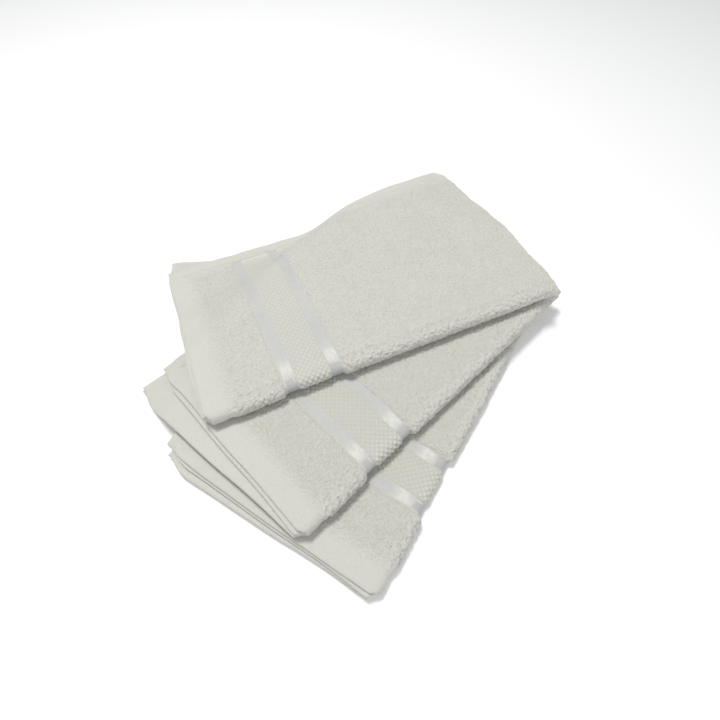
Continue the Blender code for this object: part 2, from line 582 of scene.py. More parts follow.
def edged(start: float, end: float, step: float, edge: float) -> Array:
    """Stations from start to end, closer together near both ends for round rims."""
    rim = edge * (1 - np.cos(np.linspace(0, math.pi / 2, 4)))
    middle = stations(start + edge, end - edge, step)[1:-1]
    return np.concatenate([start + rim, middle, (end - rim)[::-1]])


@dataclass
class Patch:
    """A grid of cloth points that becomes one mesh of a towel.

    edges says what lies beside its p start, p end, g start and g end.  A skin is
    eased down to meet another band or a hem, and runs on level into its own weave.
    """

    towel: FoldedTowel
    name: str
    p: Array
    g: Array
    weave: Weave
    edges: tuple[Edge, Edge, Edge, Edge] = (Edge.BAND, Edge.BAND, Edge.HEM, Edge.HEM)

    def grid(self, thick: bool) -> bmesh.types.BMesh:
        """A flat grid on the whole numbers.

        Args:
            thick: Adds a second layer at z 1 and closes the rims.

        Returns:
            The grid.
        """
        cells_p, cells_g = len(self.p) - 1, len(self.g) - 1
        bm = bmesh.new()
        bmesh.ops.create_grid(bm, x_segments=cells_p, y_segments=cells_g, size=0.5)
        bmesh.ops.translate(bm, verts=bm.verts[:], vec=(0.5, 0.5, 0))
        bmesh.ops.scale(bm, verts=bm.verts[:], vec=(cells_p, cells_g, 1))
        if thick:
            made = bmesh.ops.extrude_face_region(bm, geom=bm.faces[:], use_keep_orig=True)
            top = [v for v in made["geom"] if isinstance(v, bmesh.types.BMVert)]
            bmesh.ops.translate(bm, verts=top, vec=(0, 0, 1))
            bmesh.ops.recalc_face_normals(bm, faces=bm.faces[:])
        return bm

    def mesh(self, thick: bool) -> tuple[bpy.types.Mesh, Array, Array, Array]:
        """The grid as a mesh.

        Args:
            thick: Whether the mesh has two layers.

        Returns:
            The mesh, and each vertex's p, g and layer.
        """
        bm = self.grid(thick)
        mesh = bpy.data.meshes.new(self.name)
        bm.to_mesh(mesh)
        bm.free()
        flat = np.empty(len(mesh.vertices) * 3, np.float32)
        mesh.vertices.foreach_get("co", flat)
        index = flat.reshape(-1, 3).astype(float)
        i, j = index[:, 0], index[:, 1]
        p = np.interp(i, np.arange(len(self.p)), self.p)
        g = np.interp(j, np.arange(len(self.g)), self.g)
        return mesh, p, g, index[:, 2]

    def eased(self, p: Array, g: Array, height: Array, tuck: float, hem_side: float) -> Array:
        """Brings a skin's height down to its neighbours' along its edges.

        Args:
            p: Path coordinates.
            g: Girth coordinates.
            height: Heights of the skin.
            tuck: Height beside another band.
            hem_side: Height beside a hem.

        Returns:
            The eased heights.
        """
        inwards = (p - self.p[0], self.p[-1] - p, g - self.g[0], self.g[-1] - g)
        for distance, edge in zip(inwards, self.edges):
            if edge is Edge.JOINED:
                continue
            low, run = (tuck, 0.0030) if edge is Edge.BAND else (hem_side, 0.0120)
            height = low + (height - low) * smooth(distance / run) ** 0.7
        return height

    def fray(self, p: Array, g: Array) -> Array:
        """How far the loops at a pile's edge lean over the band beside it.

        Args:
            p: Path coordinates.
            g: Girth coordinates.

        Returns:
            What to add to p, which is 0 away from such an edge.
        """
        lean = np.zeros_like(p)
        if self.weave is not Weave.PILE:
            return lean
        row = value_noise(g, np.zeros_like(g), 0.0021, self.towel.salt + 61)
        row = row + value_noise(g, np.zeros_like(g), 0.0060, self.towel.salt + 67) - 1
        for distance, edge, way in (
            (p - self.p[0], self.edges[0], -1), (self.p[-1] - p, self.edges[1], 1)
        ):
            if edge is Edge.BAND:
                lean = lean + way * 0.0012 * row * (distance < 1e-6)
        return lean

    def shell(self, rise: Rise, tuck: float, hem_side: float, dress: "Finish") -> bpy.types.Object:
        """A skin on the outside of the cloth, eased down along its edges.

        Args:
            rise: Height of the skin above the middle of the cloth.
            tuck: Height beside another band.
            hem_side: Height beside a hem.
            dress: Finish of the piece.

        Returns:
            The finished piece.
        """
        mesh, p, g, _ = self.mesh(thick=False)
        p = p + self.fray(p, g)
        full = rise(p, g)
        height = self.eased(p, g, full, tuck, hem_side)
        mesh.vertices.foreach_set(
            "co", self.towel.place(p, g, height).astype(np.float32).ravel()
        )
        # Painted shade: the lower a point lies in the relief, the darker its colour, standing in
        # for shade between loops and nubs; less of it beside a hem.
        low, high = float(full.min()), float(full.max())
        depth = 1 - (full - low) / max(high - low, 1e-9)
        depth = depth * self.eased(p, g, np.ones_like(p), 1.0, 0.25)
        # The satin instead gets a painted highlight on the roll's shoulder and painted shade on
        # its side.
        if self.weave is Weave.SATIN:
            depth = satin_painted_light(p, g, self.towel.salt)
        return self.finish(mesh, p, g, depth, dress)

    def slab(self, outside: Rise, inside: Rise, dress: "Finish") -> bpy.types.Object:
        """A closed piece of cloth.

        Args:
            outside: Height of its outer face above the middle of the cloth.
            inside: Height of its inner face.
            dress: Finish of the piece.

        Returns:
            The finished piece.
        """
        mesh, p, g, layer = self.mesh(thick=True)
        height = np.where(layer > 0.5, outside(p, g), inside(p, g))
        mesh.vertices.foreach_set(
            "co", self.towel.place(p, g, height).astype(np.float32).ravel()
        )
        piece = self.finish(mesh, p, g, np.zeros_like(p), dress)
        mesh.set_sharp_from_angle(angle=math.radians(50))
        return piece

    def finish(
        self, mesh: bpy.types.Mesh, p: Array, g: Array, depth: Array, dress: "Finish"
    ) -> bpy.types.Object:
        """Gives a mesh its cloth coordinates, shading and finish, and makes it a piece.

        Args:
            mesh: The mesh.
            p: Path coordinate of each vertex.
            g: Girth coordinate of each vertex.
            depth: How much painted shade each vertex gets, from 0 to 1: how deep it lies in the
                relief, or on the satin its painted highlight and shade.
            dress: Finish of the piece.

        Returns:
            The piece.
        """
        corners = np.empty(len(mesh.loops), np.int32)
        mesh.loops.foreach_get("vertex_index", corners)
        uv = mesh.uv_layers.new(name="cloth")
        uv.data.foreach_set("uv", np.column_stack([g, p])[corners].astype(np.float32).ravel())
        # The depth attribute carries the painted shade, and on the satin its painted highlight and
        # shade.
        mesh.attributes.new("depth", "FLOAT", "POINT").data.foreach_set(
            "value", depth.astype(np.float32)
        )
        mesh.shade_smooth()
        mesh.materials.append(dress.material())
        mesh.update()
        piece = bpy.data.objects.new(self.name, mesh)
        bpy.context.scene.collection.objects.link(piece)
        return piece


# --------------------------------------------------------------------------- finishes


def node_of(tree: bpy.types.NodeTree, kind: str, **values: object) -> bpy.types.Node:
    """Adds a node, and sets its properties and its inputs by name.

    Args:
        tree: The tree it goes in.
        kind: Type of the node.
        values: Its properties and the values of its inputs.

    Returns:
        The node.
    """
    node = tree.nodes.new(kind)
    for name, value in values.items():
        if hasattr(node, name):
            setattr(node, name, value)
        else:
            node.inputs[name.replace("_", " ")].default_value = value
    return node


def empty_group(
    name: str, inputs: dict[str, str], output: tuple[str, str]
) -> tuple[bpy.types.NodeTree, bpy.types.Node, bpy.types.Node]:
    """A new shader node group with its sockets.

    Args:
        name: Name of the group.
        inputs: Kind of each input socket by its name.
        output: Name and kind of the output socket.

    Returns:
        The group, its input node and its output node.
    """
    group = bpy.data.node_groups.new(name, "ShaderNodeTree")
    for title, kind in inputs.items():
        group.interface.new_socket(title, in_out="INPUT", socket_type=f"NodeSocket{kind}")
    title, kind = output
    group.interface.new_socket(title, in_out="OUTPUT", socket_type=f"NodeSocket{kind}")
    return group, group.nodes.new("NodeGroupInput"), group.nodes.new("NodeGroupOutput")


def fuzz_group() -> bpy.types.NodeTree:
    """Node group for the fine yarn and fibre relief of woven cotton.

    Returns:
        The group: from a cloth vector and scales to a height from 0 to 1.
    """
    made = bpy.data.node_groups.get("cotton_fuzz")
    if made:
        return made
    inputs = {"Vector": "Vector", "Yarn Scale": "Float", "Fibre Scale": "Float"}
    group, enter, leave = empty_group("cotton_fuzz", inputs, ("Height", "Float"))
    yarn = node_of(group, "ShaderNodeTexVoronoi", feature="SMOOTH_F1", Smoothness=0.4)
    fibre = node_of(group, "ShaderNodeTexNoise", Detail=3.0, Roughness=0.6)
    flip = node_of(group, "ShaderNodeMath", operation="SUBTRACT")
    flip.inputs[0].default_value = 1.0
    both = node_of(group, "ShaderNodeMath", operation="MULTIPLY_ADD")
    both.inputs[1].default_value = 0.5
    link = group.links.new
    link(enter.outputs["Vector"], yarn.inputs["Vector"])
    link(enter.outputs["Yarn Scale"], yarn.inputs["Scale"])
    link(enter.outputs["Vector"], fibre.inputs["Vector"])
    link(enter.outputs["Fibre Scale"], fibre.inputs["Scale"])
    link(yarn.outputs["Distance"], flip.inputs[1])
    link(fibre.outputs["Fac"], both.inputs[0])
    link(flip.outputs[0], both.inputs[2])
    link(both.outputs[0], leave.inputs["Height"])
    return group


def tone_and_shade_group() -> bpy.types.NodeTree:
    """Node group for the slight random unevenness of a washed cotton's colour, with painted shade.

    Returns:
        The group: from a vector, a lit and a shaded colour and a depth mask of painted shade to a
            colour.
    """
    made = bpy.data.node_groups.get("cotton_tone_and_shade")
    if made:
        return made
    inputs = {"Vector": "Vector", "Light": "Color", "Deep": "Color", "Depth": "Float"}
    group, enter, leave = empty_group("cotton_tone_and_shade", inputs, ("Color", "Color"))
    # Random patches give the real uneven tone; the depth mask adds painted shade in hollows, and
    # on the satin a painted highlight and shade.
    patchy = node_of(group, "ShaderNodeTexNoise", Scale=28.0, Detail=4.0, Roughness=0.55)
    spread = node_of(group, "ShaderNodeMath", operation="MULTIPLY_ADD", use_clamp=True)
    spread.inputs[1].default_value = 0.35
    lift = node_of(group, "ShaderNodeMath", operation="SUBTRACT", use_clamp=True)
    lift.inputs[1].default_value = 0.17
    mix = node_of(group, "ShaderNodeMix", data_type="RGBA")
    link = group.links.new
    link(enter.outputs["Vector"], patchy.inputs["Vector"])
    link(patchy.outputs["Fac"], spread.inputs[0])
    link(enter.outputs["Depth"], spread.inputs[2])
    link(spread.outputs[0], lift.inputs[0])
    link(lift.outputs[0], mix.inputs["Factor"])
    link(enter.outputs["Light"], mix.inputs["A"])
    link(enter.outputs["Deep"], mix.inputs["B"])
    link(mix.outputs["Result"], leave.inputs["Color"])
    return group


@dataclass(frozen=True)
class Finish:
    """A cotton finish: its colours, sheen and fine relief."""

    name: str
    # light is the lit colour; deep is painted shade where the depth mask is high, and on pieces
    # without depth only a random darker tone.
    light: Colour
    deep: Colour
    roughness: float
    sheen: float
    specular: float
    yarn_scale: float
    fibre_scale: float
    relief: float
    rib_pitch: float = 0.0
    rib_depth: float = 0.0
    rib_along: bool = True

    def material(self) -> bpy.types.Material:
        """The finish's material, made at its first use.

        Returns:
            A Principled material that follows the cloth coordinates.
        """
        made = bpy.data.materials.get(self.name)
        if made:
            return made
        material = bpy.data.materials.new(self.name)
        material.use_nodes = True
        tree = material.node_tree
        link = tree.links.new
        shader = tree.nodes["Principled BSDF"]
        shader.inputs["Roughness"].default_value = self.roughness
        shader.inputs["Sheen Weight"].default_value = self.sheen
        shader.inputs["Sheen Roughness"].default_value = 0.5
        shader.inputs["Specular IOR Level"].default_value = self.specular
        cloth = node_of(tree, "ShaderNodeUVMap", uv_map="cloth")
        # The depth attribute mixes in painted shade, and on the satin a painted highlight.
        depth = node_of(tree, "ShaderNodeAttribute", attribute_name="depth")
        tone_and_shade = node_of(tree, "ShaderNodeGroup", node_tree=tone_and_shade_group())
        tone_and_shade.inputs["Light"].default_value = self.light
        tone_and_shade.inputs["Deep"].default_value = self.deep
        link(cloth.outputs["UV"], tone_and_shade.inputs["Vector"])
        link(depth.outputs["Fac"], tone_and_shade.inputs["Depth"])
        link(tone_and_shade.outputs["Color"], shader.inputs["Base Color"])
        fuzz = node_of(tree, "ShaderNodeGroup", node_tree=fuzz_group())
        fuzz.inputs["Yarn Scale"].default_value = self.yarn_scale
        fuzz.inputs["Fibre Scale"].default_value = self.fibre_scale
        link(cloth.outputs["UV"], fuzz.inputs["Vector"])
        bump = node_of(tree, "ShaderNodeBump", Distance=self.relief, Strength=1.0)
        link(fuzz.outputs["Height"], bump.inputs["Height"])
        if self.rib_pitch:
            ribs = self.ribs(tree, cloth.outputs["UV"])
            link(ribs.outputs["Normal"], bump.inputs["Normal"])
        link(bump.outputs["Normal"], shader.inputs["Normal"])
        return material

    def ribs(self, tree: bpy.types.NodeTree, uv: bpy.types.NodeSocket) -> bpy.types.Node:
        """A bump of fine ribs, along the towel or across it.

        Args:
            tree: The material's tree.
            uv: Socket with the cloth coordinates.

        Returns:
            The bump node.
        """
        wave = node_of(tree, "ShaderNodeTexWave", wave_type="BANDS", wave_profile="SIN")
        wave.bands_direction = "X" if self.rib_along else "Y"
        wave.inputs["Scale"].default_value = 0.314 / self.rib_pitch
        wave.inputs["Distortion"].default_value = 0.6
        wave.inputs["Detail"].default_value = 1.0
        bump = node_of(tree, "ShaderNodeBump", Distance=self.rib_depth, Strength=1.0)
        tree.links.new(uv, wave.inputs["Vector"])
        tree.links.new(wave.outputs["Fac"], bump.inputs["Height"])
        return bump


# The pile's deep colour is painted shade in the hollows between its loops.
PILE = Finish(
    "white_terry_pile", (0.710, 0.705, 0.650, 1), (0.610, 0.605, 0.545, 1),
    0.95, 0.25, 0.15, 850.0, 2400.0, 0.00085,
)
GROUND = Finish(
    "white_ground_weave", (0.60, 0.595, 0.54, 1), (0.56, 0.555, 0.50, 1),
    0.9, 0.1, 0.2, 1400.0, 3000.0, 0.0002,
)
HEM = Finish(
    "white_hem_weave", (0.640, 0.636, 0.584, 1), (0.610, 0.605, 0.552, 1),
    0.85, 0.20, 0.15, 1000.0, 2600.0, 0.00034, 0.0011, 0.00006, False,
)
# The waffle's deep colour is painted shade between its nubs.
WAFFLE = Finish(
    "white_waffle_weave", (0.695, 0.691, 0.637, 1), (0.535, 0.535, 0.478, 1),
    0.85, 0.15, 0.20, 1300.0, 2600.0, 0.00025,
)
# The satin's light colour is a painted highlight on the roll's shoulder, its grey deep colour
# painted shade on the roll's side.
SATIN = Finish(
    "white_satin_stripe", (0.720, 0.715, 0.670, 1), (0.425, 0.435, 0.435, 1),
    0.55, 0.05, 0.25, 1600.0, 3200.0, 0.00008, 0.0007, 0.00006, False,
)
THREAD = Finish(
    "white_sewing_thread", (0.66, 0.655, 0.61, 1), (0.62, 0.615, 0.57, 1),
    0.6, 0.1, 0.3, 2500.0, 5000.0, 0.00005,
)


# --------------------------------------------------------------------------- towels


@dataclass
class Panel:
    """A stretch of a towel's girth that moves as one."""

    towel: FoldedTowel
    label: str
    start: float
    end: float
    fine: float
    bodies: tuple[str, ...]
    pieces: list[bpy.types.Object] = field(default_factory=list)
    ground_top: float = 0.0008
    ground_under: float = -0.0013
    nub_height: float = 0.0006
    waffle_pitch: float = 0.0026
    waffle_step: float = 0.00066
    satin_steps: tuple[float, float] = (0.0012, 0.0014)
    hidden_step: float = 0.003
    coarse_step: float = 0.004

    @property
    def cloth(self) -> Cloth:
        """The cloth it is part of."""
        return self.towel.cloth

    @property
    def sides(self) -> tuple[Edge, Edge]:
        """What lies beside each end of the panel's girth: a hem or another panel."""
        edge = self.cloth.girth - 1e-6
        first = Edge.JOINED if self.start > -edge else Edge.HEM
        return first, Edge.JOINED if self.end < edge else Edge.HEM

    def title(self, name: str) -> str:
        """Full name of a piece of this panel."""
        return f"{self.towel.name}_{self.label}{name}"

    def inside(self) -> tuple[float, float]:
        """Girth between the side hems, within this panel."""
        open_edge = self.cloth.girth - self.cloth.side_hem
        return max(self.start, -open_edge), min(self.end, open_edge)

    def pile_rise(self, p: Array, g: Array) -> Array:
        """Height of the terry pile over the middle of the cloth."""
        return TERRY.height(p, g, self.towel.fluff, self.towel.salt)

    def waffle_rise(self, p: Array, g: Array) -> Array:
        """Height of the band of small raised diamonds, waffle_pitch apart.

        Args:
            p: Path coordinates.
            g: Girth coordinates.

        Returns:
            The heights over the middle of the cloth.
        """
        away = np.where(p > self.cloth.bend_centre, self.cloth.path - p, p)
        x, y = g / self.waffle_pitch, (away - self.cloth.border[3][1]) / self.waffle_pitch
        x = x + 0.22 * (value_noise(g, p, 0.0055, self.towel.salt + 22) - 0.5)
        nub = np.abs(np.sin((x + y) * math.pi / 2) * np.sin((x - y) * math.pi / 2))
        wobble = value_noise(g, p, 0.003, self.towel.salt + 21)
        bent = np.exp(-(((g - 0.002) / 0.0150) ** 4))
        proud = self.nub_height * self.towel.fluff + self.nub_height * bent
        return self.ground_top + proud * nub**0.75 * (0.7 + 0.5 * wobble)

    def add(self, piece: bpy.types.Object) -> bpy.types.Object:
        """Keeps a piece of the panel."""
        self.pieces.append(piece)
        return piece

    def band_span(self, ply: Ply, start: float, end: float) -> tuple[float, float]:
        """Path coordinates of a band that lies from start to end along the towel."""
        if ply is Ply.OUTER:
            return start, end
        return self.cloth.path - end, self.cloth.path - start

    def build_ground(self) -> bpy.types.Object:
        """The ground weave between the hems, with the pile's backing inside.

        Returns:
            The piece.
        """
        low, high = self.inside()
        p = stations(self.cloth.end_hem, self.towel.inner_end - self.cloth.end_hem, 0.004)
        c = self.cloth
        bend = stations(c.bend_centre, c.bend_centre + c.bend_arc, 0.0008)
        outside = (p < bend[0] - 1e-4) | (p > bend[-1] + 1e-4)
        p = np.sort(np.concatenate([p[outside], bend]))
        g = self.girths(low, high, 0.005)
        patch = Patch(self.towel, self.title("ground_weave"), p, g, Weave.PILE)
        faces = self.ground_face(self.ground_top), self.ground_face(self.ground_under)
        return self.add(patch.slab(*faces, GROUND))

    def ground_face(self, height: float) -> Rise:
        """One face of the ground weave, thinner where the border has no pile.

        Args:
            height: Height of the face where there is pile.

        Returns:
            Height of that face.
        """
        c = self.cloth

        def rise(p: Array, g: Array) -> Array:
            """Height of the face.

            Args:
                p: Path coordinates.
                g: Girth coordinates.

            Returns:
                The heights.
            """
            s = np.where(p > c.bend_centre, c.path - p, p)
            plain = smooth((s - c.field_start) / 0.002)
            plain = plain + (1 - smooth((s - c.border[2][1]) / 0.002))
            return height * (0.55 + 0.45 * np.clip(plain, 0, 1))

        return rise

    def girths(self, low: float, high: float, step: float) -> Array:
        """Girth stations, closer together round the roll.

        Args:
            low: First girth.
            high: Last girth.
            step: Distance between stations on the leaves.

        Returns:
            The stations.
        """
        c = self.cloth
        roll = min(step * 0.7, 0.0016)
        values = []
        if low < -c.roll_arc:
            values.append(stations(low, min(-c.roll_arc, high), step))
        if low < c.roll_arc and high > -c.roll_arc:
            values.append(stations(max(low, -c.roll_arc), min(high, c.roll_arc), roll))
        if high > c.roll_arc:
            values.append(stations(max(c.roll_arc, low), high, step))
        return np.unique(np.round(np.concatenate(values), 7))

    def shown(self, low: float, high: float, fine: float, coarse: float) -> Array:
        """Girth stations, fine where the outer ply can be seen and coarse below.

        Args:
            low: First girth.
            high: Last girth.
            fine: Distance between stations that can be seen.
            coarse: Distance between the others.

        Returns:
            The stations.
        """
        c = self.cloth
        hidden = -c.roll_arc - 0.010
        if low >= hidden or fine >= coarse:
            return self.girths(low, high, fine)
        under = stations(low, hidden, coarse)
        return np.unique(np.round(np.concatenate([under, self.girths(hidden, high, fine)]), 7))

    def build_pile(self) -> None:
        """The terry pile on the outer face of both plies, field and end strips."""
        c = self.cloth
        low, high = self.inside()
        strip = c.border[1][1:3]
        spans = (
            ("outer_terry_field", c.field_start, c.middle, self.fine),
            ("inner_terry_field", c.middle, c.path - c.field_start, self.hidden_step),
            ("outer_end_terry", *strip, self.fine),
            ("inner_end_terry", *self.band_span(Ply.INNER, *strip), self.hidden_step),
        )
        for name, start, end, size in spans:
            p = stations(start, end, size)
            g = self.shown(low, high, size, self.coarse_step)
            edges = (self.beside(start), self.beside(end), *self.sides)
            p = self.overlapped(p, edges)
            patch = Patch(self.towel, self.title(name), p, g, Weave.PILE, edges)
            self.skin(patch, (start, end))

    def overlapped(self, p: Array, edges: Sequence[Edge]) -> Array:
        """Stations that also carry the pile a little way over the bands beside it."""
        first = [p[0] - 0.0013] if edges[0] is Edge.BAND else []
        last = [p[-1] + 0.0013] if edges[1] is Edge.BAND else []
        return np.concatenate([first, p, last])

    def beside(self, p: float) -> Edge:
        """What lies beside a pile band's end.

        Args:
            p: Path coordinate of that end.

        Returns:
            The kind of edge.
        """
        if abs(p - self.cloth.middle) < 1e-9:
            return Edge.JOINED
        away = min(p, self.cloth.path - p)
        return Edge.HEM if away < self.cloth.end_hem + 1e-6 else Edge.BAND

    def build_border(self) -> None:
        """The satin stripes and the waffle band of both plies."""
        low, high = self.inside()
        edges = (Edge.BAND, Edge.BAND, *self.sides)
        for ply in Ply:
            fine = ply is Ply.OUTER
            for name, start, end, weave in self.cloth.border[2:]:
                span = self.band_span(ply, start, end)
                title = self.title(f"{ply.name.lower()}_{name}")
                if weave is Weave.SATIN:
                    steps = self.satin_steps if fine else (self.coarse_step, self.coarse_step)
                else:
                    steps = (self.waffle_step if fine else self.hidden_step,) * 2
                g = self.shown(low, high, steps[1], self.coarse_step)
                patch = Patch(self.towel, title, stations(*span, steps[0]), g, weave, edges)
                self.skin(patch, span)

    def satin_rise(self, p: Array, g: Array, start: float, end: float) -> Array:
        """Height of a satin stripe from start to end, a little crowned across its width."""
        crown = 1 - (2 * (p - start) / (end - start) - 1) ** 4
        ripple = value_noise(g, p, 0.006, self.towel.salt + 31) - 0.5
        return 0.00075 + 0.00022 * crown + 0.00030 * ripple

    def skin(self, patch: Patch, span: tuple[float, float]) -> None:
        """Adds a band's skin in the band's own weave.

        Args:
            patch: The band's grid.
            span: Path coordinates of the band's edges.
        """
        if patch.weave is Weave.PILE:
            self.add(patch.shell(self.pile_rise, 0.0008, 0.0014, PILE))
        elif patch.weave is Weave.SATIN:
            self.add(patch.shell(lambda p, g: self.satin_rise(p, g, *span), 0.0006, 0.0011, SATIN))
        else:
            self.add(patch.shell(self.waffle_rise, 0.0006, 0.0011, WAFFLE))

    def hem_rise(self, free: Rise, inner: Rise, side: int) -> Rise:
        """One face of a hem.

        Args:
            free: Distance from the free edge, which is round.
            inner: Distance from the edge where the pile begins, which is lower.
            side: 1 for the outer face and -1 for the inner one.

        Returns:
            Height of that face.
        """
        half = self.cloth.plump_hem / 2

        def rise(p: Array, g: Array) -> Array:
            """Height of the face.

            Args:
                p: Path coordinates.
                g: Girth coordinates.

            Returns:
                The heights.
            """
            away = np.clip(free(p, g) / half, 0, 1)
            full = np.sqrt(np.clip(1 - (1 - away) ** 2, 0, 1))
            pucker = value_noise(g, p, 0.009, self.towel.salt + 41) - 0.5
            pucker = pucker + 0.9 * (value_noise(g, p, 0.0042, self.towel.salt + 43) - 0.5)
            thick = 0.0014 + (half - 0.0014) * smooth(inner(p, g) / 0.006)
            return side * (thick * full + 0.00005 + 0.00017 * pucker * (side > 0) * full)

        return rise

    def build_end_hems(self) -> None:
        """The end hem of each ply, rounded at its free end."""
        c = self.cloth
        low, high = self.inside()
        last = self.towel.inner_end
        for ply in Ply:
            outer = ply is Ply.OUTER
            start, end = (0.0, c.end_hem) if outer else (last - c.end_hem - self.towel.reach, last)
            p = edged(start, end, 0.0018, c.hem / 2)
            title = self.title(f"{ply.name.lower()}_end_hem")
            patch = Patch(self.towel, title, p, self.girths(low, high, 0.003), Weave.HEM)
            self.add(patch.slab(*self.end_hem_faces(outer), HEM))

    def end_hem_faces(self, outer: bool) -> tuple[Rise, Rise]:
        """Both faces of an end hem.

        Args:
            outer: Whether it is the outer ply's hem.

        Returns:
            Heights of the outer and the inner face.
        """
        c = self.cloth
        last = self.towel.inner_end
        inner_edge = c.end_hem if outer else c.path - c.end_hem

        def free(p: Array, g: Array) -> Array:
            """Distance from the free edge."""
            return p if outer else last - p

        def inner(p: Array, g: Array) -> Array:
            """Distance from the edge where the pile begins."""
            return np.abs(inner_edge - p)

        return self.hem_rise(free, inner, 1), self.hem_rise(free, inner, -1)

    def build_side_hem(self, upper: bool) -> None:
        """The hem along the open side of one leaf, round the far bend.

        Args:
            upper: Whether it is the upper leaf's hem.
        """
        c = self.cloth
        start, end = c.girth - c.side_hem, c.girth
        g = edged(start, end, 0.0018, c.hem / 2)
        if not upper:
            g = -g[::-1]
        bend = stations(c.bend_centre, c.bend_centre + c.bend_arc, 0.0007)
        first = edged(0.0, c.bend_centre * 2, 0.004, c.hem / 2)
        first = first[first < c.bend_centre - 0.001]
        second = self.towel.inner_end - first[::-1]
        second = second[second > bend[-1] + 0.001]
        p = np.concatenate([first, bend, second])
        leaf = "upper" if upper else "lower"
        name = f"{leaf}_side_hem" if not self.label else "side_hem"
        patch = Patch(self.towel, self.title(name), p, g, Weave.HEM)
        last = self.towel.inner_end

        def free(p: Array, g: Array) -> Array:
            """Distance from the nearest free edge."""
            sides = np.minimum(p, last - p)
            return np.minimum(sides, c.girth - np.abs(g))

        def inner(p: Array, g: Array) -> Array:
            """Distance from the edge where the pile begins, more beside the end hems."""
            beside_end = 1 - smooth((np.minimum(p, last - p) - c.end_hem + 0.002) / 0.004)
            return np.abs(g) - (c.girth - c.side_hem) + 0.01 * beside_end

        faces = self.hem_rise(free, inner, 1), self.hem_rise(free, inner, -1)
        self.add(patch.slab(*faces, HEM))

    def build_stitches(self) -> None:
        """Sewing thread: one row of short stitches on each hem of the outer ply."""
        c = self.cloth
        rows = []
        low, high = self.inside()
        across = np.arange(low + 0.002, high - 0.001, 0.0031)
        rows.append((np.full_like(across, c.end_hem - 0.0018), across, True))
        if self.end > c.roll_arc + 0.02:
            along = np.arange(0.003, c.bend_centre, 0.0031)
            rows.append((along, np.full_like(along, c.girth - c.side_hem + 0.0018), False))
        bm = bmesh.new()
        for p, g, sideways in rows:
            rise = np.full_like(p, 0.00156)
            here = self.towel.place(p, g, rise)
            on_p, on_g = (0, 0.0011) if sideways else (0.0011, 0)
            ahead = self.towel.place(p + on_p, g + on_g, rise)
            for a, b in zip(here, ahead):
                middle, ray = Vector((a + b) / 2), Vector(b - a)
                turn = ray.to_track_quat("Z", "Y").to_matrix().to_4x4()
                size = Matrix.Diagonal((0.00026, 0.00026, 0.00125, 1))
                where = Matrix.Translation(middle) @ turn @ size
                bmesh.ops.create_uvsphere(bm, u_segments=6, v_segments=4, radius=1, matrix=where)
        mesh = bpy.data.meshes.new(self.title("stitches"))
        bm.to_mesh(mesh)
        bm.free()
        mesh.uv_layers.new(name="cloth")
        mesh.attributes.new("depth", "FLOAT", "POINT")
        mesh.shade_smooth()
        mesh.materials.append(THREAD.material())
        piece = bpy.data.objects.new(mesh.name, mesh)
        bpy.context.scene.collection.objects.link(piece)
        self.add(piece)

    def ride(self) -> None:
        """Puts every piece on the panel's body."""
        for piece in self.pieces:
            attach(piece, self.bodies[0])

    def build(self) -> None:
        """Builds all pieces of a panel that has at least one leaf."""
        ground = self.build_ground()
        self.build_pile()
        self.build_border()
        self.build_end_hems()
        if self.end >= self.cloth.girth - 1e-6:
            self.build_side_hem(upper=True)
        if self.start <= -self.cloth.girth + 1e-6:
            self.build_side_hem(upper=False)
        self.build_stitches()
        self.ride()
        flat = (round(self.end - self.start, 4), round(self.towel.inner_end, 4))
        log.info("%s: %d pieces", self.title("panel"), len(self.pieces))


